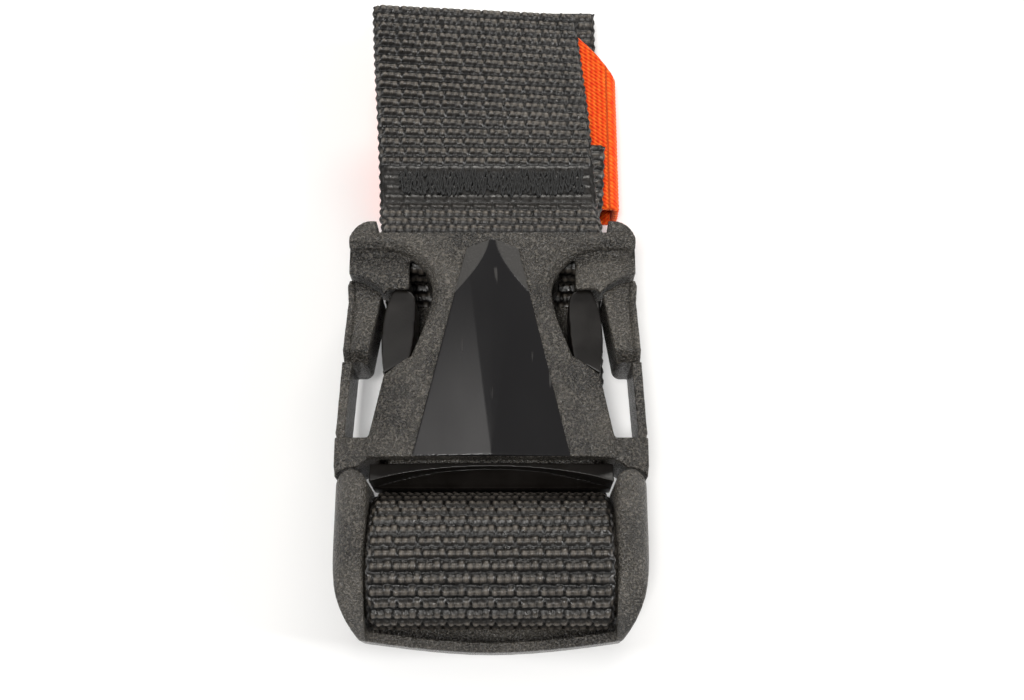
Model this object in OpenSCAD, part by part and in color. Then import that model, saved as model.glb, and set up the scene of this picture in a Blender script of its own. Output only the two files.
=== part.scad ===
// Side-release buckle of a leg strap for tree climbing spurs, closed, with its
// webbing and the keeper band behind it. Millimetres.
// X runs across the strap, +Y points towards the sewn strap, +Z is the front face.
// Z = 0 is the surface the strap lies on, and Y = 0 is the seam of socket and plug.

/* [Webbing] */
// Width of the webbing
web_w = 25; // [20:0.5:32]
// Thickness of the webbing
web_t = 1.5; // [1.2:0.05:1.9]
// Clearance on each side of the webbing in its slots
web_side_gap = 0.25; // [0.1:0.05:0.5]
// Clearance between the webbing and a bar that it wraps
wrap_gap = 0.05; // [0.02:0.01:0.15]
// Clearance between the two rear layers inside the keeper
layer_gap = 0.1; // [0.05:0.05:0.3]
// End of the sewn front strap, from the seam
front_strap_end = 58.5; // [52:0.1:75]
// End of the rear load strap, from the seam
rear_strap_end = 60.7; // [50:0.1:75]
// How far short of the load strap the tail ends
tail_short = 0.6; // [0.2:0.1:8]
// Length of the sewn fold beyond the strap bar
fold_len = 14.6; // [11:0.1:18]

/* [Socket] */
// Thickness of the buckle body, back to front
body_t = 8.6; // [7.2:0.1:11]
// Front wall of the socket
front_wall = 1.7; // [1.2:0.1:2.2]
// Back wall of the socket
back_wall = 1.2; // [0.9:0.1:1.8]
// Side wall of the prong sleeves
sleeve_wall = 1.05; // [0.8:0.05:1.4]
// Edge of the socket's mouth, from the seam
mouth_y = 1.45; // [1.2:0.05:2]
// Start of the catch that holds a prong head
catch_y = 10.55; // [9:0.05:13]
// Radius of the bar that the sewn strap loops round
strap_bar_r = 1.6; // [1.2:0.05:2.1]
// Wall between the prong space and the strap pocket
end_wall = 0.8; // [0.6:0.1:1.5]
// Half width of the centre panel at the mouth
panel_half_w = 8.2; // [6.5:0.1:8.6]
// Rise of the centre panel's ridge at the mouth
panel_rise = 0.6; // [0.2:0.05:1]

/* [Release levers] */
// Thickness of the lever arm
lever_t = 1.05; // [0.8:0.05:1.3]
// Drop of a pad's front face below the socket's, at the pad's foot
pad_drop = 0.8; // [0.4:0.1:1.5]
// Thickness of the shoulder's roof, which a pressed pad slides under
shoulder_roof = 0.65; // [0.5:0.05:0.8]
// Clearance between a pad and the shoulder above it
pad_gap = 0.3; // [0.2:0.05:0.5]

/* [Plug] */
// Width of each side rail
rail_w = 3.4; // [3:0.1:4.2]
// Radius of the domed front of the adjuster bar
dome_r = 6.55; // [5.8:0.05:7.4]
// Radius of the adjuster bar's outer edge
dome_edge_r = 3.05; // [2.5:0.05:3.6]
// Thickness of the guard bar at the plug's end
end_bar_t = 1.05; // [0.8:0.05:1.6]
// Height of the guard bar
end_bar_h = 3; // [2:0.1:4]
// Length of a prong head
head_len = 9.65; // [8:0.05:11]
// Thickness of a prong's arm
prong_t = 1.15; // [0.9:0.05:1.4]
// Half width of the guide tongue
tongue_half_w = 3.2; // [2:0.1:3.6]
// Length of the guide tongue
tongue_len = 13.4; // [9:0.1:16]

/* [Keeper band] */
// Thickness of the band
band_t = 0.85; // [0.6:0.05:1.1]
// Clearance between the band and the webbing in it
band_gap = 0.15; // [0.1:0.05:0.3]
// Radius of the band's folds, on the outside
band_fold_r = 1.15; // [1:0.05:1.3]
// Slack of the loop past the webbing's right edge
band_slack = 1.55; // [0.4:0.05:2.5]
// Start of the band, from the seam
band_y = 33.1; // [32.3:0.1:34]
// Width of the band, along the strap
band_w = 23.5; // [15:0.1:24]

/* [Hidden] */
$fn = 48;

left = -1;
right = 1;
cut = 0.01;              // overlap that keeps a cut or a union clean
run_gap = 0.2;           // between faces of different bodies that slide past
fit_gap = 0.3;           // between pieces that swing past each other

// Heights, from the surface up: band, tail, load strap, buckle
tail_z = band_t + band_gap;
load_z = tail_z + web_t + layer_gap;
load_top = load_z + web_t;
band_top = load_top + band_gap + band_t;
base_z = load_top + run_gap;
top_z = base_z + body_t;
cavity_z0 = base_z + back_wall;
cavity_z1 = top_z - front_wall;
flange_z = top_z - 0.9;  // lower level of the flange, shoulders and flank edges
roof_z = flange_z - shoulder_roof;

// Widths, from the centre out
slot_half = web_w / 2 + web_side_gap;
side_x = slot_half + rail_w;

// Adjuster: the webbing turns down at the inner slot, and wraps the outer edge
dome_out = dome_r + wrap_gap + web_t;
dome_mid = dome_out - web_t / 2;
dome_c = [-0.9 - dome_out, base_z + 0.9];
edge_a = 125;            // where the dome's arc meets the edge's smaller arc
edge_mid = dome_edge_r + wrap_gap + web_t / 2;
edge_c = dome_c + (dome_mid - edge_mid) * [cos(edge_a), sin(edge_a)];
leave_a = 250;           // where the tail leaves the outer edge
wrap_low_y = edge_c[0] - edge_mid - web_t / 2;
end_inner_y = wrap_low_y - run_gap;
end_bulge = 1.2;         // how far the guard bar bows out at its middle

// Socket, from the seam up
hip_y = catch_y + 1.77;
head_y0 = catch_y + 0.4;
head_y1 = head_y0 + head_len;
shoulder_y = head_y1 + run_gap;
loop_out = strap_bar_r + wrap_gap + web_t;
pocket_y = shoulder_y + end_wall + 0.8;
bar_c = [pocket_y + loop_out + 0.25, base_z + loop_out + 0.25];
pocket_z1 = bar_c[1] + loop_out + 0.35;
plate_end_y = bar_c[0] + 0.8;
ridge_y = plate_end_y - 1.84;
ear_end_y = plate_end_y + 1.4;

// Hinges of the moulded levers and prongs
lever_pivot = [side_x - 0.3, 4.3];
pad_reach = shoulder_y + 1.25 - pad_gap - lever_pivot[1];
prong_root_r = 0.8;
base_end_y = 3.1;        // end of the plug's base inside the mouth
prong_pivot = [side_x - 6.4, base_end_y + prong_root_r + 0.05];
rail_end_r = rail_w / 2;
rail_end_c = [slot_half + rail_end_r, -1.5];

plastic = [0.2, 0.19, 0.18];
gloss = [0.09, 0.09, 0.1];
webbing = [0.14, 0.13, 0.12];
thread = [0.07, 0.07, 0.07];
orange = [0.95, 0.3, 0.05];

// ---- curves ----

function arc(c, r, a0, a1, n) =
    [for (i = [0:n]) let (a = a0 + (a1 - a0) * i / n) c + r * [cos(a), sin(a)]];

function curve(p, n) =
    [for (i = [0:n]) let (t = i / n, u = 1 - t)
        u * u * u * p[0] + 3 * u * u * t * p[1] + 3 * u * t * t * p[2] + t * t * t * p[3]];

function smooth(t) = let (s = min(max(t, 0), 1)) s * s * (3 - 2 * s);

function mirrored(p) = [for (i = [len(p) - 1:-1:0]) [-p[i][0], p[i][1]]];

function backwards(p) = [for (i = [len(p) - 1:-1:0]) p[i]];

function without_first(p) = [for (i = [1:len(p) - 1]) p[i]];

// Points given as distances in from the buckle's side, and along Y
function from_side(p) = [for (q = p) [side_x - q[0], q[1]]];

function normal_at(p, i) =
    let (d = p[min(i + 1, len(p) - 1)] - p[max(i - 1, 0)]) [-d[1], d[0]] / norm(d);

// Outline of a strip of thickness t whose middle follows p
function strip(p, t) = concat(
    [for (i = [0:len(p) - 1]) p[i] + t / 2 * normal_at(p, i)],
    [for (i = [len(p) - 1:-1:0]) p[i] - t / 2 * normal_at(p, i)]);

// ---- solids ----

module slab(z0, z1) translate([0, 0, z0]) linear_extrude(z1 - z0) children();

// Extrudes a Y-Z profile across the strap
module across(w) rotate([90, 0, 90]) linear_extrude(w, center = true) children();

// Mirrors a right-hand piece when side is left
module on_side(side) mirror([side == left ? 1 : 0, 0, 0]) children();

// Solid through a row of four-cornered sections
module loft(rows) {
    n = len(rows);
    e = 4 * n - 4;
    sides = [for (k = [0:n - 2], j = [0:3], h = [0, 1])
        let (a = 4 * k + j, b = 4 * k + (j + 1) % 4)
        h == 0 ? [a, b, b + 4] : [a, b + 4, a + 4]];
    polyhedron([for (r = rows, p = r) p],
        concat([[2, 1, 0], [3, 2, 0]], sides, [[e, e + 1, e + 2], [e, e + 2, e + 3]]),
        convexity = 6);
}

// ---- socket ----

hip = [side_x - 7.51, hip_y];
waist = [side_x - 9.68, ridge_y - 5.02];
flank_line = curve([hip, [side_x - 6.75, hip_y - 2.6],
    [side_x - 5.4, mouth_y + 3.55], [side_x - 4.92, mouth_y]], 8);
ridge_line = concat(
    curve([[side_x - 4.45, ridge_y], [side_x - 7.15, ridge_y],
        [side_x - 9.65, ridge_y - 2.46], waist], 10),
    without_first(curve([waist, [side_x - 9.7, ridge_y - 7.26],
        [side_x - 8.25, ridge_y - 10.56], hip], 8)));

// Front face: mouth, waisted neck, top frame and the two ears beside the strap
module neck_outline() {
    half = concat(
        backwards(flank_line),
        without_first(backwards(ridge_line)),
        [[side_x - 0.45, ridge_y]],
        arc([side_x - 2.95, ear_end_y - 2.5], 2.5, 0, 90, 8),
        [[slot_half, ear_end_y], [slot_half, plate_end_y]]);
    polygon(concat(half, mirrored(half)));
}

// Lower corner beside the neck, above a prong head and a press pad
module shoulder_outline() {
    tip = [[7.05, shoulder_y - 0.5], [4.85, shoulder_y - 0.5], [4.35, shoulder_y - 1.1]];
    polygon(concat(from_side(tip), shoulder_edge(0),
        from_side([[0.45, ridge_y + 1], [7.05, ridge_y + 1]])));
}

// Sweep of the shoulder's lower edge, and of the pad's top edge a gap below it
function shoulder_edge(gap) = curve(from_side([[4.05, shoulder_y - 0.45 - gap],
    [2.9, shoulder_y + 0.55 - gap], [1.6, shoulder_y + 1.15 - gap],
    [0.45, shoulder_y + 1.25 - gap]]), 6);

// Room under the shoulder's roof for the top of a pressed pad
module pad_sweep() {
    intersection() {
        translate(lever_pivot) circle(pad_reach + fit_gap);
        translate([side_x - 7.3, shoulder_y - 2]) square([10, 10]);
    }
}

module flange_outline() {
    polygon(from_side([[5.5, mouth_y], [3.2, mouth_y - 0.1], [0, -0.9], [-0.2, 0.5],
        [-0.25, 3.75], [5.5, 3.75]]));
}

// Outer edge of the sleeve beside the neck: mouth, window and slanted catch
sleeve_line = [[mouth_y, side_x - 3.18], [3.72, side_x - 3.27],
    [catch_y, side_x - 4.66], [hip_y, side_x - 7.25]];

module sleeve_outline() {
    polygon(concat([for (q = sleeve_line) [q[1], q[0]]],
        [[side_x - 8.5, hip_y], [side_x - 8.5, mouth_y]]));
}

// Sleeve beside the neck, whose front slopes down from the neck to its outer edge
module sleeve() {
    foot = [side_x - 4.92, mouth_y];
    along = hip - foot;
    slope = atan((top_z - flange_z) / 2.4);
    difference() {
        slab(base_z, top_z) sleeve_outline();
        translate([foot[0], foot[1], top_z])
            rotate([slope, 0, atan2(along[1], along[0])])
                translate([-10, -15, 0]) cube([40, 15, 5]);
    }
}

// Hollow for the plug's prongs and tongue, open at the mouth and at both sides
module cavity_outline() {
    half = from_side([[4.2, mouth_y - 1], [3.27 + sleeve_wall, 3.72],
        [4.66 + sleeve_wall, catch_y], [4.66 + sleeve_wall, hip_y + 0.3],
        [-1, hip_y + 0.3], [-1, shoulder_y + 2], [0.2, shoulder_y + 2],
        [4.05, shoulder_y], [7.05, shoulder_y], [7.05, shoulder_y + 0.8]]);
    polygon(concat(half, mirrored(half)));
}

// Back wall in the bend of the neck, beside and below a prong head
module back_web() {
    web = base_z + 0.8;
    slab(base_z, web)
        polygon(from_side([[7.3, hip_y - 0.2], [7.3, shoulder_y],
            [10.2, shoulder_y], [10.2, hip_y - 0.2]]));
}

module socket_shell() {
    color(plastic)
        difference() {
            union() {
                slab(base_z, top_z) neck_outline();
                for (side = [left, right]) on_side(side) {
                    slab(base_z, flange_z) {
                        shoulder_outline();
                        flange_outline();
                    }
                    sleeve();
                    back_web();
                }
            }
            difference() {
                slab(cavity_z0, cavity_z1) cavity_outline();
                for (side = [left, right]) on_side(side)
                    slab(base_z, top_z) shoulder_outline();
            }
            translate([-slot_half, pocket_y, base_z - 1])
                cube([2 * slot_half, 20, pocket_z1 - base_z + 1]);
            for (side = [left, right]) on_side(side) {
                slab(base_z - 1, roof_z) pad_sweep();
                translate([rail_end_c[0], rail_end_c[1], base_z - 1])
                    cylinder(h = body_t + 2, r = rail_end_r + fit_gap);
            }
        }
}

// Smooth raised panel: two facets that meet in a ridge down the middle
module centre_panel() {
    y_top = ridge_y - 0.1;
    w_top = 2.84;
    proud = 0.15;
    z_edge = top_z + proud;
    color(gloss)
        polyhedron([
            [-panel_half_w, mouth_y, top_z], [panel_half_w, mouth_y, top_z],
            [w_top, y_top, top_z], [0, y_top + 1.15, top_z], [-w_top, y_top, top_z],
            [-panel_half_w, mouth_y, z_edge], [panel_half_w, mouth_y, z_edge],
            [w_top, y_top, z_edge], [0, y_top + 1.15, z_edge], [-w_top, y_top, z_edge],
            [0, mouth_y, z_edge + panel_rise]],
            [[0, 1, 2, 3, 4], [1, 0, 5, 10, 6], [2, 1, 6, 7], [3, 2, 7, 8],
                [4, 3, 8, 9], [0, 4, 9, 5], [10, 8, 7], [10, 7, 6], [5, 9, 10], [9, 8, 10]]);
}

module strap_bar() {
    color(plastic)
        translate([0, bar_c[0], bar_c[1]]) rotate([0, 90, 0])
            cylinder(h = 2 * slot_half, r = strap_bar_r, center = true);
}

// ---- release levers ----

pad_foot = [side_x - 1.95, catch_y + 2.35];
pad_foot_r = 0.95;

// Arm with a round root on its hinge axis, cut square arm_trim short of its tip
arm_trim = 0.5;
module hinged_arm(z0, z1, root, root_r, tip, tip_r) {
    n = normal_at([root, tip], 0);
    neck_r = root_r - 0.06;
    difference() {
        union() {
            translate([root[0], root[1], z0]) cylinder(h = z1 - z0, r = root_r);
            slab(z0, z1)
                polygon([root + n * neck_r, tip + n * tip_r, tip - n * tip_r,
                    root - n * neck_r]);
        }
        translate([0, tip[1] - arm_trim, z0 - 1]) cube([side_x + 2, 2, z1 - z0 + 2]);
    }
}

module lever_arm(side) {
    color(plastic) on_side(side)
        hinged_arm(base_z + 1.3, top_z - 1.1, lever_pivot, lever_t / 2,
            [side_x - 0.7, pad_foot[1] - pad_foot_r + arm_trim], lever_t / 2);
}

// The pad's face falls from its foot, so that its top can slide under the shoulder's roof
module press_pad(side) {
    face_z = top_z - pad_drop;
    under_y = shoulder_y - 1.3;
    fall = atan((face_z - roof_z + run_gap) / (under_y - pad_foot[1]));
    color(plastic) on_side(side)
        difference() {
            slab(base_z + 1, face_z)
                polygon(concat(
                    arc(pad_foot, pad_foot_r, 180, 270, 6),
                    [[side_x - 0.66 + lever_t / 2, pad_foot[1] - pad_foot_r],
                        [side_x - 0.45, shoulder_y - 1.8],
                        [side_x - 0.25, shoulder_y + 0.2]],
                    backwards(shoulder_edge(pad_gap))));
            translate([side_x - 10, pad_foot[1], face_z])
                rotate([-fall, 0, 0]) cube([15, 15, 5]);
        }
}

// ---- plug ----

// Outer line of the plug: rail, swept corner and bowed end
module plug_outline() {
    corner = [side_x - 2.74, end_inner_y - end_bar_t + 0.15];
    half = concat(
        arc(rail_end_c, rail_end_r, 180, 0, 12),
        curve([[side_x, -7], [side_x, corner[1] + 5.1],
            [side_x - 0.85, corner[1] + 2.3], corner], 8),
        without_first(curve([corner, [8, corner[1] - 0.75], [4, corner[1] - end_bulge],
            [0, corner[1] - end_bulge]], 6)));
    polygon(concat(half, mirrored([for (i = [0:len(half) - 2]) half[i]])));
}

// Side view of a rail: level, then falling to the end bar
rail_low_z = base_z + 4.4;
module rail_side_view() {
    polygon(concat([[3, base_z], [3, top_z]],
        curve([[-8, top_z], [-13, top_z], [end_inner_y + 0.5, top_z - 1.8],
            [end_inner_y - end_bar_t, rail_low_z]], 8),
        [[end_inner_y - 4, rail_low_z], [end_inner_y - 4, base_z]]));
}

// Section of a rail: rounded over the top, more so on the outside
module rail_section() {
    outer_r = 2.1;
    inner_r = 0.8;
    polygon(concat(
        [[slot_half, base_z], [side_x + cut, base_z]],
        arc([side_x - outer_r + cut, top_z - outer_r], outer_r, 0, 90, 8),
        arc([slot_half + inner_r, top_z - inner_r], inner_r, 90, 180, 5)));
}

module rail(side) {
    color(plastic) on_side(side)
        intersection() {
            slab(base_z, top_z) intersection() {
                plug_outline();
                translate([slot_half, -50]) square([20, 60]);
            }
            across(80) rail_side_view();
            translate([0, 10, 0]) rotate([90, 0, 0]) linear_extrude(40) rail_section();
        }
}

crossbar_sag = 1.6;      // how far the crossbar's front face bows back at its middle
crossbar_drop = 1.5;     // how far it lies below the front faces on both sides
module crossbar() {
    back_y = mouth_y - fit_gap;
    face = [-slot_half, back_y - 2];
    color(gloss) {
        slab(base_z + 1.3, top_z - crossbar_drop)
            polygon(concat(
                curve([face, [-slot_half / 2, face[1] + crossbar_sag * 4 / 3],
                    [slot_half / 2, face[1] + crossbar_sag * 4 / 3],
                    [slot_half, face[1]]], 12),
                [[slot_half, back_y], [-slot_half, back_y]]));
        slab(base_z + 0.8, base_z + 3.4)
            translate(face) square([2 * slot_half, back_y - face[1]]);
    }
}

module adjuster_bar() {
    bar_base = base_z + 0.7;
    far = acos((dome_r - 0.1) / dome_r);
    color(plastic)
        across(2 * slot_half) intersection() {
            polygon(concat(
                arc(dome_c, dome_r, -far, edge_a, 16),
                arc(edge_c, dome_edge_r, edge_a, leave_a, 10),
                [[dome_c[0] + dome_r - 1, bar_base - 0.5]]));
            translate([-40, bar_base]) square([60, 20]);
        }
}

// Strip of the plug's end between the rails
module end_strip() {
    intersection() {
        difference() {
            plug_outline();
            translate([0, end_bar_t]) plug_outline();
        }
        translate([-slot_half, end_inner_y - 4]) square([2 * slot_half, 5]);
    }
}

// Guard bar, with a thin ledge that runs in under the turn of the webbing
module end_bar() {
    ledge_top = base_z + 0.8;
    turn_out = edge_mid + web_t / 2;
    ledge_y = edge_c[0] - sqrt(pow(turn_out, 2) - pow(edge_c[1] - ledge_top, 2)) - run_gap;
    color(plastic) {
        slab(base_z + 0.3, base_z + 1.3 + end_bar_h) end_strip();
        slab(base_z, ledge_top) intersection() {
            plug_outline();
            translate([-slot_half, ledge_y - 10]) square([2 * slot_half, 10]);
        }
    }
}

module guide_tongue() {
    base_half = side_x - 5.2;
    tip_y = base_end_y + tongue_len;
    color(plastic) {
        slab(cavity_z0 + 0.4, cavity_z1 - 1.2)
            translate([-base_half, mouth_y - fit_gap])
                square([2 * base_half, base_end_y - mouth_y + fit_gap]);
        slab(cavity_z0 + 1.6, cavity_z1 - 1.6)
            polygon([[-tongue_half_w, base_end_y], [tongue_half_w, base_end_y],
                [tongue_half_w, tip_y - 1.5], [tongue_half_w - 1.5, tip_y],
                [1.5 - tongue_half_w, tip_y], [-tongue_half_w, tip_y - 1.5]]);
    }
}

module prong_arm(side) {
    color(plastic) on_side(side)
        hinged_arm(cavity_z0 + 0.9, cavity_z1 - 0.8, prong_pivot, prong_root_r,
            [side_x - 6.6, head_y0 + 0.9 + arm_trim], prong_t / 2);
}

module prong_head(side) {
    y0 = head_y0;
    y1 = head_y1;
    color(gloss) on_side(side)
        slab(cavity_z0 + 0.4, cavity_z1 - 0.2)
            polygon(concat(
                [[side_x - 7.2, y0 + 0.9], [side_x - 6, y0 + 0.9]],
                curve([[side_x - 4.5, y0], [side_x - 3.95, y0 + 3.6],
                    [side_x - 3.95, y1 - 3.4], [side_x - 5.15, y1 - 0.35]], 8),
                curve([[side_x - 5.5, y1], [side_x - 6.6, y1],
                    [side_x - 7.4, y1 - 0.1], [side_x - 7.7, y1 - 0.9]], 4),
                curve([[side_x - 7.8, y1 - 1.6], [side_x - 7.9, y1 - 4],
                    [side_x - 7.6, y0 + 2.5], [side_x - 7.25, y0 + 1.2]], 4)));
}

// ---- webbing ----

// Load strap, inner slot, over the adjuster bar, outer slot, tail
tail_mid = web_t / 2;
turn_r = dome_c[1] - load_z - web_t / 2;
leave = edge_c + edge_mid * [cos(leave_a), sin(leave_a)];
tail_flat_y = leave[0] + (leave[1] - tail_mid) * tan(leave_a - 180);
wrap_path = concat(
    [[rear_strap_end, load_z + web_t / 2]],
    arc([dome_c[0] + dome_mid + turn_r, dome_c[1]], turn_r, -90, -180, 8),
    [for (p = arc(dome_c, dome_mid, 6, edge_a - 6, 18)) p],
    arc(edge_c, edge_mid, edge_a, leave_a, 12),
    curve([[tail_flat_y - 1.5, tail_mid + 1.5 / tan(leave_a - 180)],
        [tail_flat_y - 0.5, tail_mid + 0.5 / tan(leave_a - 180)],
        [tail_flat_y + 0.5, tail_mid], [tail_flat_y + 1.5, tail_mid]], 4),
    curve([[band_y - 5.8, tail_mid], [band_y - 4, tail_mid],
        [band_y - 2.8, tail_z + tail_mid], [band_y - 1, tail_z + tail_mid]], 6),
    [[rear_strap_end - tail_short, tail_z + tail_mid]]);

module adjustable_strap() {
    color(webbing) across(web_w) polygon(strip(wrap_path, web_t));
}

// Sewn strap: short fold, loop round the strap bar, then the long front layer
fold_gap = 0.4;          // between the fold and the band's seam
fold_z = band_top + fold_gap + web_t / 2;
front_z = fold_z + web_t + 0.05;
loop_mid = strap_bar_r + wrap_gap + web_t / 2;
sewn_y = bar_c[0] + 6.5; // where the two layers come together

// Where a line from p meets the loop, above (1) or below (-1) the bar
function touch_angle(p, way) =
    let (d = p - bar_c) atan2(d[1], d[0]) + way * acos(loop_mid / norm(d));

fold_a = touch_angle([sewn_y, fold_z], -1);
front_a = touch_angle([sewn_y, front_z], 1);
front_twist = 14;        // roll of the free end, right edge down
front_lean = -2.3;       // sideways shift of the free end
fold_lean = 0.8;
twist_y = sewn_y + 5;
twist_lift = web_w / 2 * sin(front_twist) - web_t - 0.3;

// Each row is [Y, Z, direction of travel in degrees, X shift, roll]
function front_share(y) = (y - bar_c[0]) / (front_strap_end - bar_c[0]);
function front_row(y) =
    let (s = smooth((y - twist_y) / (front_strap_end - twist_y)))
    [y, front_z + twist_lift * s, 0, front_lean * front_share(y) + 0.17, front_twist * s];

fold_end = bar_c[0] + fold_len;
sewn_rows = concat(
    [for (y = [fold_end, (fold_end + sewn_y) / 2, sewn_y])
        [y, fold_z, 180, 0.17 + fold_lean * (y - bar_c[0]) / fold_len, 0]],
    [for (i = [0:20]) let (a = fold_a + (front_a - 360 - fold_a) * i / 20)
        [bar_c[0] + loop_mid * cos(a), bar_c[1] + loop_mid * sin(a), a - 90, 0.17, 0]],
    [for (i = [0:14]) front_row(sewn_y + (front_strap_end - sewn_y) * i / 14)]);

// Four corners of the webbing at one row
function web_corners(r) =
    let (n = [0, -sin(r[2]), cos(r[2])], w = [cos(r[4]), 0, -sin(r[4])],
        up = r[4] == 0 ? n : [sin(r[4]), 0, cos(r[4])], m = [r[3], r[0], r[1]])
    [m - w * web_w / 2 - up * web_t / 2, m + w * web_w / 2 - up * web_t / 2,
        m + w * web_w / 2 + up * web_t / 2, m - w * web_w / 2 + up * web_t / 2];

module sewn_strap() {
    color(webbing) loft([for (r = sewn_rows) web_corners(r)]);
}

// Dense crosswise stitches through both layers, over the whole width
tack_len = 4.6;
module bar_tack() {
    pitch = 1.25;
    count = floor((web_w - 1.5) / pitch);
    stitch_z = front_z + web_t / 2 - 0.2;
    color(thread)
        for (i = [0:count - 1])
            translate([(i - (count - 1) / 2) * pitch - 0.3, sewn_y + 0.2, stitch_z])
                rotate([0, 0, i % 2 == 0 ? 8 : -8])
                    cube([0.5, tack_len, 0.45]);
}

// ---- keeper band ----

band_x0 = -web_w / 2 - band_gap - band_t;
band_x1 = web_w / 2 + band_slack + band_t;

module band_section(inset) {
    r = band_fold_r - inset;
    h = band_top - 2 * inset;
    hull() for (x = [band_x0 + inset + r, band_x1 - inset - r], z = [inset + r, inset + h - r])
        translate([x, z]) circle(r, $fn = 32);
}

module keeper_band() {
    slant = 9.5;
    color(orange)
        intersection() {
            translate([0, band_y + band_w, 0]) rotate([90, 0, 0])
                linear_extrude(band_w) difference() {
                    band_section(0);
                    band_section(band_t);
                }
            slab(-1, band_top + 1) polygon([[band_x0 - 1, band_y - 1],
                [band_x1 + 1, band_y - 1], [band_x1 + 1, band_y + band_w - slant],
                [band_x1, band_y + band_w - slant],
                [band_x1 - 2.6, band_y + band_w - 2.5],
                [band_x1 - 6, band_y + band_w + 1], [band_x0 - 1, band_y + band_w + 1]]);
        }
}

// Row of stitches that closes the band's overlap, on the side under the strap
module keeper_seam() {
    pitch = 2.2;
    count = floor((band_w - 3) / pitch);
    color(orange * 0.8)
        for (i = [0:count - 1], x = [-3, 3])
            translate([x - 0.25, band_y + 1.5 + i * pitch, band_top - 0.2])
                cube([0.5, 1.5, 0.35]);
}

socket_shell();
centre_panel();
strap_bar();
lever_arm(left);  // left_lever_arm
press_pad(left);  // left_press_pad
lever_arm(right);  // right_lever_arm
press_pad(right);  // right_press_pad
rail(left);  // left_rail
rail(right);  // right_rail
crossbar();
adjuster_bar();
end_bar();
guide_tongue();
prong_arm(left);  // left_prong_arm
prong_head(left);  // left_prong_head
prong_arm(right);  // right_prong_arm
prong_head(right);  // right_prong_head
adjustable_strap();
sewn_strap();
bar_tack();
keeper_band();
keeper_seam();
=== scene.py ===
"""Looks of a closed side-release strap buckle with its webbing and keeper band.

Lengths below are in millimetres in the CAD frame, and meshes are scaled to metres at the end.
"""

import math
import random

import bmesh
import bpy
import numpy as np
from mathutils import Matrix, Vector


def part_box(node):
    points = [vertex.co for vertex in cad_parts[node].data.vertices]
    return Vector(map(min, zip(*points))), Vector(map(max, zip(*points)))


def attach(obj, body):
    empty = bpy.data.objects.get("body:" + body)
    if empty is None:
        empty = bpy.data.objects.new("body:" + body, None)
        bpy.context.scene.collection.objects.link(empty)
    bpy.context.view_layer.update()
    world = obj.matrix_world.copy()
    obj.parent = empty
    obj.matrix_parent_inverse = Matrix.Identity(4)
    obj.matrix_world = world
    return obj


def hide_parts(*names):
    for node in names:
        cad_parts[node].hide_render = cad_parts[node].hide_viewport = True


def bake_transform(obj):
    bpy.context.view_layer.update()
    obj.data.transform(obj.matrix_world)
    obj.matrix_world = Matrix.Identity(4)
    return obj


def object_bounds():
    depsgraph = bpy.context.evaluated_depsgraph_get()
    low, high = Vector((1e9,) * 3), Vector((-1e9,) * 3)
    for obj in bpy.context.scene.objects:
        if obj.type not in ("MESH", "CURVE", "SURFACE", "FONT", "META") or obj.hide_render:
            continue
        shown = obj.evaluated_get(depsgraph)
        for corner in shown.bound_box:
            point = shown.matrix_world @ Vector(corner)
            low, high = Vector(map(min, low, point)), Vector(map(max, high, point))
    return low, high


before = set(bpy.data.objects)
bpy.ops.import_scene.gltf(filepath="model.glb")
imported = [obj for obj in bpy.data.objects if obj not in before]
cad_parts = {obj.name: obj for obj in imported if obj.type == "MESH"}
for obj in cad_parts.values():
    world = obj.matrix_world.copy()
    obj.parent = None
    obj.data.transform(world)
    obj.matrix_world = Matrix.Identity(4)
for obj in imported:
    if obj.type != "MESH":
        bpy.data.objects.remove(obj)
cad_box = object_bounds()

MM = 0.001
rng = random.Random(7)


def corners(node):
    """Lowest and highest corner of a CAD node in millimetres."""
    low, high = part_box(node)
    return np.array(low) / MM, np.array(high) / MM


# ---- places taken from the frame ----

FRONT_Z = corners("left_rail")[1][2]         # front face of the buckle
BACK_Z = corners("left_rail")[0][2]
SIDE_X = corners("right_rail")[1][0]         # half width over the rails
SLOT_HALF = corners("right_rail")[0][0]      # half width of the webbing slots
BAR_LOW, BAR_HIGH = corners("strap_bar")
BAR_Y = (BAR_LOW[1] + BAR_HIGH[1]) / 2
BAR_Z = (BAR_LOW[2] + BAR_HIGH[2]) / 2
BAR_R = (BAR_HIGH[2] - BAR_LOW[2]) / 2
STRAP_LOW, STRAP_HIGH = corners("adjustable_strap")
WEB_HALF = STRAP_HIGH[0]
FRONT_END_Y = corners("sewn_strap")[1][1]
BAND_LOW, BAND_HIGH = corners("keeper_band")
TACK_LOW, TACK_HIGH = corners("bar_tack")
PANEL_HIGH = corners("centre_panel")[1]

# ---- sizes of the webbing, as in the CAD ----

WEB_T = 1.5
WRAP_GAP = 0.05
DOME_R = 6.55
DOME_EDGE_R = 3.05
EDGE_ANGLE = 125
LEAVE_ANGLE = 250
FRONT_TWIST = 14
FOLD_LEN = 14.6
RUN_GAP = 0.2        # between pieces that slide past each other
TAIL_SHORT = 0.6     # how far the tail ends short of the load strap
KEEPER_LIFT = 1.0    # how far the keeper lifts the tail
KEEPER_RISE = 5.8    # length over which the tail climbs to the keeper
SEWN_REACH = 6.5     # from the strap bar to where the sewn layers meet
FOLD_GAP = 0.4       # between the fold and the keeper
LAYER_GAP = 0.05     # between the two sewn layers
STRAP_SHIFT = -0.15  # of the sewn strap's middle, across the buckle
FRONT_LEAN = -2.0    # sideways drift of the front layer, at its end
FOLD_LEAN = 0.8      # and of the fold
FRONT_RISE = 0.3     # how much of the twist's lift the front strap's middle doesn't take
END_SLANT = 1.35     # how far the middle of the front strap's cut end lies short of its right
CROSSBAR_SAG = 1.6   # bow of the crossbar's top edge
CROSSBAR_FOOT = 2.6  # height of the crossbar's straight foot
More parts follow.
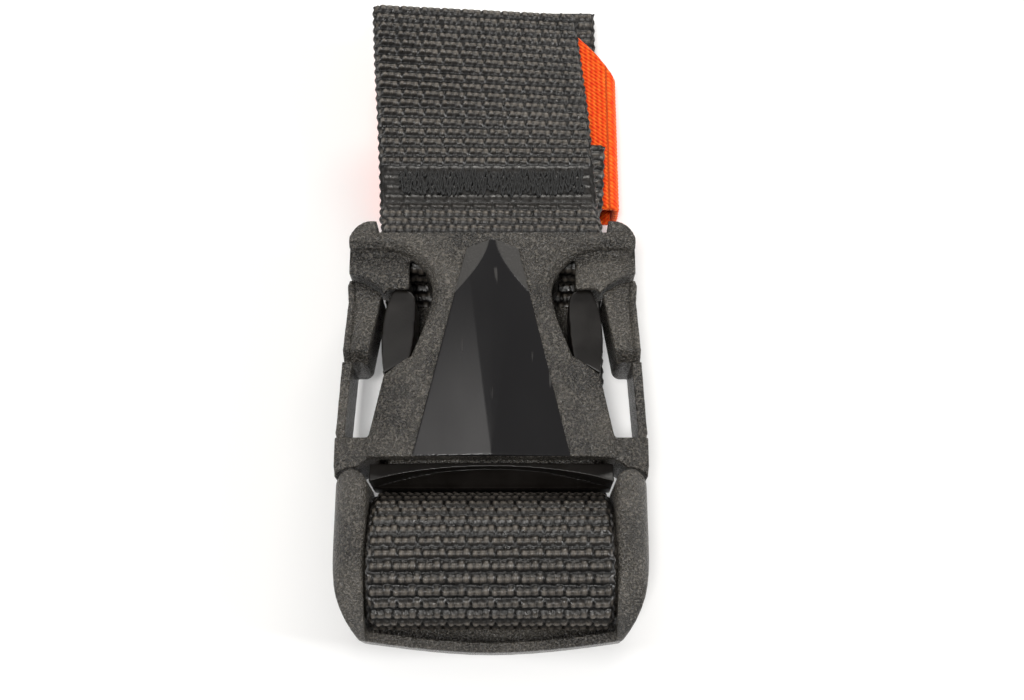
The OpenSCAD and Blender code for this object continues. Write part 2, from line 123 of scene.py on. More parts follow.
BAND_T = 0.85
BAND_FOLD_R = 1.15
RIDGE_Y = PANEL_HIGH[1] - 1.05   # lower ridge of the top frame
HIP_Y = RIDGE_Y - 12.44          # where the neck meets the prong sleeves
STEP = 0.9                       # from the front face down to the shoulders

# ---- mesh helpers ----


def add_object(name, mesh):
    obj = bpy.data.objects.new(name, mesh)
    bpy.context.scene.collection.objects.link(obj)
    return obj


def to_metres(obj):
    obj.data.transform(((MM, 0, 0, 0), (0, MM, 0, 0), (0, 0, MM, 0), (0, 0, 0, 1)))


def shade_smooth(mesh):
    mesh.polygons.foreach_set("use_smooth", [True] * len(mesh.polygons))
    mesh.update()


def points_of(mesh):
    co = np.empty(len(mesh.vertices) * 3, np.float32)
    mesh.vertices.foreach_get("co", co)
    return co.reshape(-1, 3).astype(float)


def set_points(mesh, co):
    mesh.vertices.foreach_set("co", co.astype(np.float32).ravel())
    mesh.update()


def apply_modifiers(obj):
    graph = bpy.context.evaluated_depsgraph_get()
    mesh = bpy.data.meshes.new_from_object(obj.evaluated_get(graph))
    obj.modifiers.clear()
    old, obj.data = obj.data, mesh
    bpy.data.meshes.remove(old)


def grid_mesh(name, grid, wrap_rows=False, wrap_columns=False, caps=False):
    """Mesh of quads over a grid of points, rows x columns x 3."""
    rows, columns = grid.shape[:2]
    index = np.arange(rows * columns).reshape(rows, columns)
    if wrap_rows:
        index = np.vstack([index, index[:1]])
    if wrap_columns:
        index = np.hstack([index, index[:, :1]])
    quads = np.stack([index[:-1, :-1], index[:-1, 1:], index[1:, 1:], index[1:, :-1]], -1)
    faces = quads.reshape(-1, 4).tolist()
    if caps:
        faces += [index[0, :columns].tolist(), index[-1, :columns][::-1].tolist()]
    mesh = bpy.data.meshes.new(name)
    mesh.from_pydata(grid.reshape(-1, 3).tolist(), [], faces)
    mesh.update()
    return mesh


def give_attribute(mesh, name, values):
    data = mesh.attributes.new(name, "FLOAT", "POINT")
    data.data.foreach_set("value", np.asarray(values, np.float32).ravel())


def give_vector(mesh, name, values):
    data = mesh.attributes.new(name, "FLOAT_VECTOR", "POINT")
    data.data.foreach_set("vector", np.asarray(values, np.float32).ravel())


def ramp(x, a, b):
    t = np.clip((x - a) / (b - a), 0, 1)
    return t * t * (3 - 2 * t)


def distance_to_line(points, line):
    """Distance from each X-Y point to a polyline, and the share of its length there."""
    line = np.asarray(line, float)
    steps = np.diff(line, axis=0)
    lengths = np.hypot(steps[:, 0], steps[:, 1])
    before = np.concatenate([[0], np.cumsum(lengths)])
    best = np.full(len(points), 1e9)
    share = np.zeros(len(points))
    for a, d, long, start in zip(line, steps, lengths, before):
        t = np.clip(((points - a) @ d) / (long * long), 0, 1)
        away = np.hypot(*(points - a - t[:, None] * d).T)
        closer = away < best
        best[closer] = away[closer]
        share[closer] = (start + t[closer] * long) / before[-1]
    return best, share


def bezier(p, n):
    t = np.linspace(0, 1, n + 1)[:, None]
    u = 1 - t
    p = np.asarray(p, float)
    return u**3 * p[0] + 3 * u * u * t * p[1] + 3 * u * t * t * p[2] + t**3 * p[3]


# ---- mouldings ----


def moulding(name, node_names, voxel, rounds, extra=None):
    """CAD nodes fused into one piece whose edges are rounded, as a mould leaves them."""
    bm = bmesh.new()
    for node in node_names:
        bm.from_mesh(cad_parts[node].data)
    bmesh.ops.scale(bm, vec=(1 / MM,) * 3, verts=bm.verts)
    for low, high in extra or []:
        made = bmesh.ops.create_cube(bm, size=1)["verts"]
        bmesh.ops.scale(bm, vec=np.subtract(high, low).tolist(), verts=made)
        bmesh.ops.translate(bm, vec=(np.add(low, high) / 2).tolist(), verts=made)
    bmesh.ops.remove_doubles(bm, verts=bm.verts, dist=1e-4)
    mesh = bpy.data.meshes.new(name)
    bm.to_mesh(mesh)
    bm.free()
    obj = add_object(name, mesh)
    remesh = obj.modifiers.new("fuse", "REMESH")
    remesh.mode = "VOXEL"
    remesh.voxel_size = voxel
    soften = obj.modifiers.new("soften", "SMOOTH")
    soften.factor = 0.5
    soften.iterations = rounds
    apply_modifiers(obj)
    shade_smooth(obj.data)
    return obj


def neck_edge(side):
    """Ridge from the top frame's corner down round the waist to the hip, in X and Y."""
    waist = (SIDE_X - 9.68, RIDGE_Y - 5.02)
    hip = (SIDE_X - 7.51, HIP_Y)
    upper = bezier([(SIDE_X - 4.45, RIDGE_Y), (SIDE_X - 7.15, RIDGE_Y),
                    (SIDE_X - 9.65, RIDGE_Y - 2.46), waist], 14)
    lower = bezier([waist, (SIDE_X - 9.7, RIDGE_Y - 7.26),
                    (SIDE_X - 8.25, RIDGE_Y - 10.56), hip], 10)
    line = np.vstack([[(SIDE_X - 0.6, RIDGE_Y)], upper, lower[1:]])
    return line * [side, 1]


def sculpt_socket(mesh):
    """Rounds and swells the neck's ridges, and hollows the shoulders beside them."""
    co = points_of(mesh)
    for side in (-1, 1):
        near = (co[:, 2] > FRONT_Z - 1.3) & (co[:, 0] * side > 5) & (co[:, 1] > 11.5)
        part = co[near]
        away, share = distance_to_line(part[:, :2], neck_edge(side))
        top = ramp(part[:, 2], FRONT_Z - 0.7, FRONT_Z - 0.2)
        roll = 0.6 * np.clip(1 - away / 1.0, 0, 1) ** 2 * (1 - 0.6 * ramp(share, 0.55, 0.95))
        swell = 0.3 * np.exp(-(((away - 1.0) / 0.5) ** 2)) * (1 - ramp(share, 0.5, 0.85))
        part[:, 2] += top * (swell - roll)
        shoulder = (np.abs(part[:, 2] - FRONT_Z + STEP) < 0.25) & (part[:, 1] > HIP_Y + 7)
        part[shoulder, 2] -= 0.5 * np.exp(-((away[shoulder] / 1.8) ** 2))
        co[near] = part
    set_points(mesh, co)


# ---- webbing ----

PICK = 1.21          # pitch of the rows of the weave, along the strap
REPEAT = 2.46        # width of one repeat of the weave
ROW_SHIFT = 0.2      # how far every other row is moved, as a share of the repeat


def weave(along, across, depth, knob):
    """Height of the webbing's face, and a tone from that height which paints shade into the gaps
    and highlights onto the crowns, ticks and dots. Three beads to a repeat, in rows.

    along and across are grids in millimetres; height runs from -depth to about 0.
    """
    row = np.floor(along / PICK)
    f = along / PICK - row - 0.5
    a = across / REPEAT - ROW_SHIFT * (row % 2)
    a = a - np.floor(a)
    k = np.minimum((3 * a).astype(int), 2)
    b = 3 * a - k - 0.5
    half = np.choose(k, [0.36, 0.34, 0.44])
    middle = np.choose(k, [0.05, 0.04, -0.04])
    along_bead = np.sqrt(np.clip(1 - ((f - middle) / half) ** 2, 0, 1))
    across_bead = np.sqrt(np.clip(1 - (b / 0.68) ** 2, 0, 1))
    seam = np.minimum(a, 1 - a)
    split = 1 - 0.8 * np.exp(-((seam / 0.045) ** 2))
    height = across_bead * along_bead * split
    tick = np.exp(-(((a - 0.4) / 0.035) ** 2)) * (1 - along_bead)
    dot = np.exp(-(((a - 0.17) / 0.07) ** 2) - ((f - 0.08) / 0.17) ** 2)
    height = np.maximum(height, 0.42 * tick) + knob * dot
    # painted shade and highlight: the tone follows the height, dark in the gaps and light on the
    # crowns, ticks and dots
    shade_tone = np.clip(0.12 + 0.88 * height, 0, 1.25)
    return (height - 1) * depth, np.clip(shade_tone + 0.25 * tick, 0, 1.4)


def webbing(name, middle, outward, sideways, steps, depth, knob, face_columns, back_columns,
            flat=None, slant=None):
    """Woven strap swept along middle, with relief on both faces and beaded selvedges.

    middle, outward and sideways are one row per station; steps is the length along the strap.
    flat and slant are shares per station: of the relief kept, and of the end's slanted cut.
    """
    across = np.linspace(-1, 1, face_columns)
    under = np.linspace(1, -1, back_columns)
    edge_angle = np.linspace(90, -90, 7)[1:-1] * math.pi / 180
    length = steps[:, None]
    beads = 0.10 * np.cos(2 * math.pi * length / PICK)
    half = WEB_HALF - 0.2 + beads * 0.6
    rim = WEB_T / 2 - 0.12

    face_u = across[None, :] * half
    face_z, face_shade = weave(length + 0 * face_u, face_u + 100 * REPEAT, depth, knob)
    under_u = under[None, :] * half
    under_z, under_shade = weave(length + 0 * under_u + PICK / 2,
                                under_u + 100 * REPEAT, depth * 0.8, 0)
    if flat is not None:
        keep = flat[:, None]
        face_z = face_z * keep - (1 - keep) * depth * 0.55
        # where the tack presses the face flat, its painted shade and highlight are evened out to a
        # mid tone
        face_shade = face_shade * keep + (1 - keep) * 0.4
    edge_fade = 1 - 0.55 * ramp(np.abs(across), 0.965, 1.0)[None, :]
    face_n = (WEB_T / 2 + face_z) * edge_fade
    under_n = -(WEB_T / 2 + under_z) * (1 - 0.4 * ramp(np.abs(under), 0.965, 1.0)[None, :])
    right_u = half + 0.22 * np.cos(edge_angle)[None, :] + beads * 0.3
    right_n = rim * 0.5 * np.sin(edge_angle)[None, :] + 0 * length
    u = np.hstack([face_u, right_u, under_u, -right_u])
    n = np.hstack([face_n, right_n, under_n, -right_n])
    # painted highlight on the selvedge beads where they bulge, painted shade where they draw in
    edge_shade = np.clip(0.45 + 2.2 * beads, 0, 1) + 0 * right_u
    shade_tone = np.hstack([face_shade, edge_shade, under_shade, edge_shade])
    grid = (middle[:, None, :] + n[..., None] * outward[:, None, :]
            + u[..., None] * sideways[:, None, :])
    if slant is not None:
        grid[..., 1] += slant[:, None] * END_SLANT * (u / WEB_HALF - 1)
    mesh = grid_mesh(name, grid, wrap_columns=True, caps=True)
    # the painted shade and highlight of both faces and the selvedges, kept per point for the
    # material
    give_attribute(mesh, "shade_tone", shade_tone)
    fibre = np.stack([u, np.broadcast_to(length, u.shape), n], -1)
    give_vector(mesh, "fibre", fibre)
    shade_smooth(mesh)
    return add_object(name, mesh)


def resample(path, spacing):
    """Stations along a polyline in Y and Z, spacing(y, z) apart, with lengths and tangents."""
    path = np.asarray(path, float)
    seg = np.hypot(*np.diff(path, axis=0).T)
    total = np.concatenate([[0], np.cumsum(seg)])
    stations = [0.0]
    while stations[-1] < total[-1]:
        y, z = (np.interp(stations[-1], total, path[:, i]) for i in (0, 1))
        stations.append(stations[-1] + spacing(y, z))
    stations[-1] = total[-1]
    s = np.array(stations)
    at = np.stack([np.interp(s, total, path[:, i]) for i in (0, 1)], -1)
    ahead = np.stack([np.interp(s + 0.25, total, path[:, i]) for i in (0, 1)], -1)
    behind = np.stack([np.interp(s - 0.25, total, path[:, i]) for i in (0, 1)], -1)
    tangent = ahead - behind
    tangent /= np.hypot(*tangent.T)[:, None]
    return s, at, tangent


def arc(centre, radius, a0, a1, n):
    a = np.radians(np.linspace(a0, a1, n + 1))
    return np.stack([centre[0] + radius * np.cos(a), centre[1] + radius * np.sin(a)], -1)


def adjuster_path():
    """Middle of the load strap, its wrap over the adjuster and the tail, in Y and Z."""
    bar_high = corners("adjuster_bar")[1]
    dome = np.array([bar_high[1] - DOME_R, bar_high[2] - DOME_R])
    dome_mid = DOME_R + WRAP_GAP + WEB_T / 2
    edge_mid = DOME_EDGE_R + WRAP_GAP + WEB_T / 2
    turn = math.radians(EDGE_ANGLE)
    edge = dome + (dome_mid - edge_mid) * np.array([math.cos(turn), math.sin(turn)])
    load_z = BACK_Z - RUN_GAP - WEB_T / 2
    tail_mid = STRAP_LOW[2] + WEB_T / 2
    turn_r = dome[1] - load_z
    leave = math.radians(LEAVE_ANGLE)
    left = edge + edge_mid * np.array([math.cos(leave), math.sin(leave)])
    slope = math.tan(leave - math.pi)
    flat_y = left[0] + (left[1] - tail_mid) * slope
    lifted = BAND_LOW[2] + KEEPER_LIFT + tail_mid
    band_y = BAND_LOW[1]
    return np.vstack([
        [(STRAP_HIGH[1], load_z)],
        arc((dome[0] + dome_mid + turn_r, dome[1]), turn_r, -90, -180, 16),
        arc(dome, dome_mid, 4, EDGE_ANGLE - 3, 50),
        arc(edge, edge_mid, EDGE_ANGLE + 3, LEAVE_ANGLE, 30),
        bezier([(flat_y - 1.5, tail_mid + 1.5 / slope), (flat_y - 0.5, tail_mid + 0.5 / slope),
                (flat_y + 0.5, tail_mid), (flat_y + 1.5, tail_mid)], 8),
        bezier([(band_y - KEEPER_RISE, tail_mid), (band_y - 4, tail_mid),
                (band_y - 2.8, lifted), (band_y - 1, lifted)], 12),
        [(STRAP_HIGH[1] - TAIL_SHORT, lifted)],
    ])


def adjustable_webbing():
    """Load strap, wrap and tail in one length, with finer rows where the wrap shows."""
    def spacing(y, z):
        return 0.16 if y < 0.6 and z > 3.4 else 0.34

    s, at, tangent = resample(adjuster_path(), spacing)
    count = len(s)
    middle = np.column_stack([np.zeros(count), at])
    outward = np.column_stack([np.zeros(count), tangent[:, 1], -tangent[:, 0]])
    sideways = np.tile([1.0, 0, 0], (count, 1))
    return webbing("adjustable_webbing", middle, outward, sideways, s,
                   0.46, 0.12, 190, 60)


def sewn_rows():
    """Middle of the sewn strap in Y and Z: short fold, loop round the bar, front layer."""
    band_top = BAND_HIGH[2]
    fold_z = band_top + FOLD_GAP + WEB_T / 2
    front_z = fold_z + WEB_T + LAYER_GAP
    loop = BAR_R + WRAP_GAP + WEB_T / 2
    sewn_y = BAR_Y + SEWN_REACH
    bar = np.array([BAR_Y, BAR_Z])

    def touch(point, way):
        d = np.array(point) - bar
        return math.degrees(math.atan2(d[1], d[0]) + way * math.acos(loop / np.hypot(*d)))

    start = touch((sewn_y, fold_z), -1)
    stop = touch((sewn_y, front_z), 1) - 360
    path = np.vstack([
        [(BAR_Y + FOLD_LEN, fold_z), (sewn_y, fold_z)],
        arc(bar, loop, start, stop, 48),
        [(sewn_y, front_z), (FRONT_END_Y, front_z)],
    ])
    return path, sewn_y


def sewn_webbing():
    """Fold, loop and front layer, which leans, twists and is pressed flat by the tack."""
    path, sewn_y = sewn_rows()
    s, at, tangent = resample(path, lambda y, z: 0.17 if z > BAR_Z else 0.3)
    front = (s > s[-1] - (FRONT_END_Y - sewn_y) - 3) & (at[:, 1] > BAR_Z)
    run = np.clip((at[:, 0] - BAR_Y) / (FRONT_END_Y - BAR_Y), 0, 1)
    twist_y = sewn_y + 5
    t = ramp(at[:, 0], twist_y, FRONT_END_Y) * front
    lift = (WEB_HALF * math.sin(math.radians(FRONT_TWIST)) - WEB_T - FRONT_RISE) * t
    on_fold = (s < FOLD_LEN - SEWN_REACH) | (~front & (at[:, 0] > sewn_y))
    shift = STRAP_SHIFT + np.where(front, FRONT_LEAN * run, 0) \
        + np.where(on_fold, FOLD_LEAN * (at[:, 0] - BAR_Y) / FOLD_LEN, 0)
    roll = np.radians(FRONT_TWIST) * t
    tack = ramp(at[:, 0], TACK_LOW[1] - 1.6, TACK_LOW[1] - 0.3) \
        * (1 - ramp(at[:, 0], TACK_HIGH[1] - 0.6, TACK_HIGH[1] + 0.5)) * front
    middle = np.column_stack([shift, at[:, 0], at[:, 1] + lift - 0.12 * tack])
    n = np.column_stack([np.zeros(len(s)), -tangent[:, 1], tangent[:, 0]])
    outward = np.column_stack([np.sin(roll), n[:, 1], n[:, 2] * np.cos(roll)])
    outward /= np.linalg.norm(outward, axis=1)[:, None]
    sideways = np.column_stack([np.cos(roll), np.zeros(len(s)), -np.sin(roll)])
    slant = front * ramp(at[:, 0], FRONT_END_Y - 16, FRONT_END_Y)
    return webbing("sewn_webbing", middle, outward, sideways, s, 0.4, 0.26, 190, 60,
                   flat=1 - 0.75 * tack, slant=slant)


# ---- stitching ----


def thread(points, radius, sides=6):
    """Grid of a thin tube along points."""
    points = np.asarray(points, float)
    d = np.gradient(points, axis=0)
    d /= np.linalg.norm(d, axis=1)[:, None]
    a = np.cross(d, (0, 0, 1.0))
    a /= np.maximum(np.linalg.norm(a, axis=1), 1e-6)[:, None]
    b = np.cross(d, a)
    turn = np.linspace(0, 2 * math.pi, sides, endpoint=False)
    return points[:, None, :] + radius * (np.cos(turn)[None, :, None] * a[:, None, :]
                                          + np.sin(turn)[None, :, None] * b[:, None, :])


def joined(name, grids):
    """One mesh of several tubes with closed ends."""
    vertices, faces = [], []
    for grid in grids:
        rows, columns = grid.shape[:2]
        start = len(vertices)
        vertices += grid.reshape(-1, 3).tolist()
        for i in range(rows - 1):
            for j in range(columns):
                k = (j + 1) % columns
                faces.append([start + i * columns + j, start + i * columns + k,
                              start + (i + 1) * columns + k, start + (i + 1) * columns + j])
        faces.append([start + j for j in range(columns)][::-1])
        faces.append([start + (rows - 1) * columns + j for j in range(columns)])
    mesh = bpy.data.meshes.new(name)
    mesh.from_pydata(vertices, [], faces)
    shade_smooth(mesh)
    return add_object(name, mesh)


def tack_stitches():
    """Dense zigzag over both layers, uneven as a hard-worked tack is."""
    y0, y1 = TACK_LOW[1] + 0.5, TACK_HIGH[1] - 0.3
    surface = TACK_HIGH[2] - 0.5
    grids = []
    for share, reach, pitch in ((0.5, 0.42, 0.5), (0.3, 0.2, 0.34), (0.52, 0.2, 0.3),
                                (0.74, 0.18, 0.36)):
        x = TACK_LOW[0] + 0.5 + rng.uniform(0, 0.5)
        points = []
        up = True
        while x < TACK_HIGH[0] - 1.2:
            middle = y0 + (y1 - y0) * (share + rng.uniform(-0.07, 0.07))
            y_end = middle + (1 if up else -1) * (y1 - y0) * reach * rng.uniform(0.6, 1.1)
            y_start = points[-1][1] if points else middle
            step = pitch * rng.uniform(0.7, 1.3)
            for t in np.linspace(0.15, 1, 5):
                bulge = 0.12 * math.sin(math.pi * t)
                points.append((x + step * t + rng.uniform(-0.05, 0.05),
                               y_start + (y_end - y_start) * t, surface + bulge
                               + rng.uniform(-0.05, 0.05)))
            x += step
            up = not up
        grids.append(thread(points, 0.12))
    return joined("tack_stitches", grids)


def keeper_stitches():
    """Two rows of lockstitch where the band's ends overlap, under the strap."""
    low, high = corners("keeper_seam")
    grids = []
    for x in (low[0] + 0.25, high[0] - 0.25):
        y = low[1]
        while y + 1.7 < high[1] + 0.3:
            t = np.linspace(0, 1, 7)
            z = BAND_HIGH[2] - 0.1 + 0.2 * np.sin(math.pi * t)
            grids.append(thread(np.column_stack([np.full(7, x), y + 1.6 * t, z]), 0.14))
            y += 2.2
    return joined("keeper_stitches", grids)


# ---- keeper band ----


def keeper_loop():
    """Flat woven loop round both rear layers, its far corner cut on a slant."""
    t = BAND_T
    x0, x1 = BAND_LOW[0] + 0.25 + t / 2, BAND_HIGH[0] - t / 2
    z0, z1 = BAND_LOW[2] + t / 2, BAND_HIGH[2] - t / 2
    r = BAND_FOLD_R - t / 2
    loop = np.vstack([
        arc((x1 - r, z1 - r), r, 90, 0, 8), arc((x1 - r, z0 + r), r, 0, -90, 8),
        arc((x0 + r, z0 + r), r, 270, 180, 8), arc((x0 + r, z1 - r), r, 180, 90, 8)])
    loop = np.vstack([loop, loop[:1]])
    total = np.concatenate([[0], np.cumsum(np.hypot(*np.diff(loop, axis=0).T))])
    count = int(total[-1] / 0.2)
    s = np.linspace(0, total[-1], count, endpoint=False)
    at = np.stack([np.interp(s, total, loop[:, i]) for i in (0, 1)], -1)
    d = np.stack([np.interp((s + 0.2) % total[-1], total, loop[:, i])
                  - np.interp((s - 0.2) % total[-1], total, loop[:, i]) for i in (0, 1)], -1)
    d /= np.hypot(*d.T)[:, None]
    out = np.column_stack([-d[:, 1], d[:, 0]])
    y0, y1 = BAND_LOW[1], BAND_HIGH[1]
    from_right = BAND_HIGH[0] - at[:, 0]
    cut = np.interp(from_right, [0, 0.45, 1.2, 2.3, 4.4, 6], [9.5, 5.6, 4.2, 2.6, 0.3, -1])
    top = np.minimum(y1 - cut, y1)
    v = np.linspace(0, 1, 120)
    y = y0 + (top[:, None] - y0) * v[None, :]
    rib = 0.05 * np.sin(2 * math.pi * y / 0.5) * np.sin(2 * math.pi * s[:, None] / 0.62)
    edge = 1 - 0.5 * (ramp(v, 0.985, 1) + 1 - ramp(v, 0, 0.015))[None, :]
    half = (t / 2 - 0.05) * edge

    def layer(way):
        n = (half + rib) * way
        return np.stack([at[:, None, 0] + out[:, None, 0] * n, y,
                         at[:, None, 1] + out[:, None, 1] * n], -1)

    outer, inner = layer(1), layer(-1)[:, ::-1]
    grid = np.concatenate([outer, inner], 1)
    mesh = grid_mesh("keeper_loop", grid, wrap_rows=True, wrap_columns=True)
    span = np.concatenate([y, y[:, ::-1]], 1)
    round_loop = np.broadcast_to(s[:, None], span.shape)
    # a relief tone from the ribs, painted shade and highlight, which the band's material does not
    # read
    give_attribute(mesh, "shade_tone", np.concatenate([rib, -rib[:, ::-1]], 1) / 0.05)
    give_vector(mesh, "fibre", np.stack([round_loop, span, 0 * span], -1))
    shade_smooth(mesh)
    return add_object("keeper_loop", mesh)


# ---- materials ----


class Shader:
    """A material's node tree, with short calls for what the finishes share."""

    def __init__(self, name, roughness, **sockets):
        self.material = bpy.data.materials.new(name)
        self.material.use_nodes = True
        self.tree = self.material.node_tree
        self.shader = self.tree.nodes["Principled BSDF"]
        self.shader.inputs["Roughness"].default_value = roughness
        for socket, value in sockets.items():
            self.shader.inputs[socket].default_value = value
        self.place = self.tree.nodes.new("ShaderNodeTexCoord").outputs["Object"]

    def node(self, kind, **values):
        node = self.tree.nodes.new("ShaderNode" + kind)
        for key, value in values.items():
            setattr(node, key, value)
        return node

    def link(self, a, b):
        self.tree.links.new(a, b)

    def noise(self, scale, detail=2.0, where=None, stretch=None, roughness=0.5):
        where = where or self.place
        if stretch:
            mapping = self.node("Mapping")
            mapping.inputs["Scale"].default_value = stretch
            self.link(where, mapping.inputs["Vector"])
            where = mapping.outputs["Vector"]
        node = self.node("TexNoise")
        node.inputs["Scale"].default_value = scale
        node.inputs["Detail"].default_value = detail
        node.inputs["Roughness"].default_value = roughness
        self.link(where, node.inputs["Vector"])
        return node.outputs["Fac"]

    def attribute(self, name, output="Fac"):
        return self.node("Attribute", attribute_name=name).outputs[output]

    def math(self, operation, a, b=None, c=None, clamp=False):
        node = self.node("Math", operation=operation, use_clamp=clamp)
        for socket, value in zip(node.inputs, (a, b, c)):
            if value is None:
                continue
            if isinstance(value, (int, float)):
                socket.default_value = value
            else:
                self.link(value, socket)
        return node.outputs[0]

    def remap(self, value, low, high, to_low, to_high):
        node = self.node("MapRange")
        for i, v in enumerate((low, high, to_low, to_high), 1):
            node.inputs[i].default_value = v
        self.link(value, node.inputs[0])
        return node.outputs[0]

    def mix(self, factor, a, b):
        node = self.node("Mix", data_type="RGBA")
        for socket, value in ((node.inputs[0], factor), (node.inputs[6], a), (node.inputs[7], b)):
            if isinstance(value, (int, float)):
                socket.default_value = value
            elif isinstance(value, tuple):
                socket.default_value = (*value, 1)
            else:
                self.link(value, socket)
        return node.outputs[2]

    def bump(self, height, strength, distance, normal=None):
        node = self.node("Bump")
        node.inputs["Strength"].default_value = strength
        node.inputs["Distance"].default_value = distance
        self.link(height, node.inputs["Height"])
        if normal:
            self.link(normal, node.inputs["Normal"])
        return node.outputs["Normal"]

    def finish(self, colour=None, roughness=None, normal=None):
        for socket, value in (("Base Color", colour), ("Roughness", roughness),
                              ("Normal", normal)):
            if value:
                self.link(value, self.shader.inputs[socket])
        return self.material


def spark_eroded(name, dark, light, depth, roughness):
    """Moulded plastic with the fine pitted grain of a spark-eroded mould, and painted glints on
    the grain's peaks.
    """
    s = Shader(name, roughness, **{"IOR": 1.5})
    grain = s.noise(4300, 1.0, roughness=0.6)
    fine = s.noise(8000, 1.0)
    cloud = s.noise(150, 3.0)
    height = s.math("ADD", grain, s.math("MULTIPLY", fine, 0.35))
    # painted glints: the grain's peaks are coloured lighter, standing in for sparkle
    grain_glint = s.remap(grain, 0.48, 0.72, 0.0, 0.7)
    blotch = s.remap(cloud, 0.35, 0.7, 0.0, 0.3)
    # colour: painted grain glints, plus random blotches of lighter tone
    colour = s.mix(s.math("ADD", grain_glint, blotch, clamp=True), dark, light)
    rough = s.remap(fine, 0.35, 0.65, roughness - 0.12, roughness + 0.12)
    return s.finish(colour, rough, s.bump(height, 1.0, depth))


def satin(name, dark, light, roughness):
    """Smooth moulded plastic, lightly rubbed."""
    s = Shader(name, roughness)
    cloud = s.noise(260, 4.0)
    fine = s.noise(4000, 2.0)
    colour = s.mix(s.remap(cloud, 0.35, 0.7, 0.0, 1.0), dark, light)
    rough = s.remap(cloud, 0.3, 0.7, roughness - 0.06, roughness + 0.08)
    return s.finish(colour, rough, s.bump(fine, 0.5, 0.00002))


def polished(name):
    """Gloss black with finger smears and hairline scratches, grained past its top corners."""
    s = Shader(name, 0.13, **{"IOR": 1.5})
    smear = s.noise(120, 3.0, stretch=(1, 0.5, 1))
    lines = s.noise(700, 1.0, stretch=(2.2, 0.16, 1))
    gate = s.remap(s.noise(210, 1.0), 0.56, 0.64, 0.0, 1.0)
    scratch = s.math("MULTIPLY", s.remap(lines, 0.7, 0.74, 0.0, 1.0), gate)
    grain = s.noise(3000, 2.0, roughness=0.6)
    rim = s.attribute("grained")
    colour = s.mix(s.math("MULTIPLY", scratch, 0.3), (0.009, 0.0085, 0.009), (0.08, 0.075, 0.07))
    colour = s.mix(rim, colour, (0.03, 0.028, 0.026))
    rough = s.math("ADD", s.remap(smear, 0.3, 0.75, 0.14, 0.26),
                   s.math("MULTIPLY", scratch, 0.2))
    rough = s.math("ADD", rough, s.math("MULTIPLY", rim, 0.3), clamp=True)
    return s.finish(colour, rough, s.bump(s.math("MULTIPLY", grain, rim), 0.8, 0.00012))


def woven(name, gap, dark, light, roughness, sheen, fibre_scale):
    """Yarn painted darker in the weave's gaps as shade and lighter on its crowns as highlights,
    from the relief tone, with fine filaments.
    """
    s = Shader(name, roughness, **{"Sheen Weight": sheen, "Sheen Roughness": 0.45})
    fibre = s.attribute("fibre", "Vector")
    filaments = s.noise(1.0, 2.0, fibre, stretch=fibre_scale)
    fuzz = s.noise(2.2, 3.0, fibre, stretch=(1, 1, 1))
    patch = s.noise(0.14, 2.0, fibre)
    shade_tone = s.math("ADD", s.attribute("shade_tone"),
                  s.math("MULTIPLY", s.math("SUBTRACT", filaments, 0.5), 0.55))
    shade_tone = s.math("ADD", shade_tone, s.math("MULTIPLY", s.math("SUBTRACT", patch, 0.5), 0.35))
    # painted shade in the gaps and painted highlight on the crowns, from the relief tone, with
    # random filament and patch variation
    body = s.mix(s.remap(shade_tone, 0.2, 0.62, 0.0, 1.0), gap, dark)
    colour = s.mix(s.remap(shade_tone, 0.72, 1.12, 0.0, 1.0), body, light)
    rough = s.remap(fuzz, 0.3, 0.7, roughness - 0.1, roughness + 0.12)
    normal = s.bump(filaments, 0.5, 0.00005)
    return s.finish(colour, rough, normal)


def knitted(name):
    """Orange elastic band: upright ribs, with slanting picks between them, coloured deeper in the
    dips as painted shade and paler on the ridges as painted highlight.
    """
    s = Shader(name, 0.75, **{"Sheen Weight": 0.05, "Specular IOR Level": 0.2})
    fibre = s.attribute("fibre", "Vector")
    parts = s.node("SeparateXYZ")
    s.link(fibre, parts.inputs[0])
    x, y = parts.outputs[0], parts.outputs[1]
    ribs = s.math("SINE", s.math("MULTIPLY", x, 2 * math.pi / 0.62))
    slant = s.math("SINE", s.math("MULTIPLY", s.math("ADD", s.math("MULTIPLY", x, 0.75), y),
                                  2 * math.pi / 0.5))
    jitter = s.noise(1.7, 2.0, fibre)
    height = s.math("ADD", s.math("MULTIPLY", ribs, 0.35), s.math("MULTIPLY", slant, 0.45))
    height = s.math("ADD", height, s.math("MULTIPLY", s.math("SUBTRACT", jitter, 0.5), 2.2))
    deep, mid, pale = (0.72, 0.02, 0.0005), (0.88, 0.085, 0.003), (0.95, 0.2, 0.02)
    # painted shade and highlight: the colour follows the relief height, deep in the dips and pale
    # on the ridges
    colour = s.mix(s.remap(height, -0.9, 0.1, 0.0, 1.0), deep, mid)
    colour = s.mix(s.remap(height, 0.1, 1.0, 0.0, 1.0), colour, pale)
    return s.finish(colour, None, s.bump(height, 0.7, 0.0001))


def floor_material():
    s = Shader("floor_paper", 0.8)
    cloud = s.noise(6, 3.0)
    return s.finish(s.mix(cloud, (0.94, 0.94, 0.94), (0.96, 0.96, 0.96)), None,
                    s.bump(s.noise(900, 2.0), 0.05, 0.0001))


# its light colour is reached by the painted grain glints and by the random blotches
TEXTURED = spark_eroded("textured_plastic", (0.012, 0.0106, 0.009), (0.155, 0.14, 0.118),
                        0.0003, 0.3)
SATIN = satin("smooth_plastic", (0.0045, 0.0035, 0.0028), (0.009, 0.0072, 0.006), 0.34)
GLOSS = polished("polished_plastic")
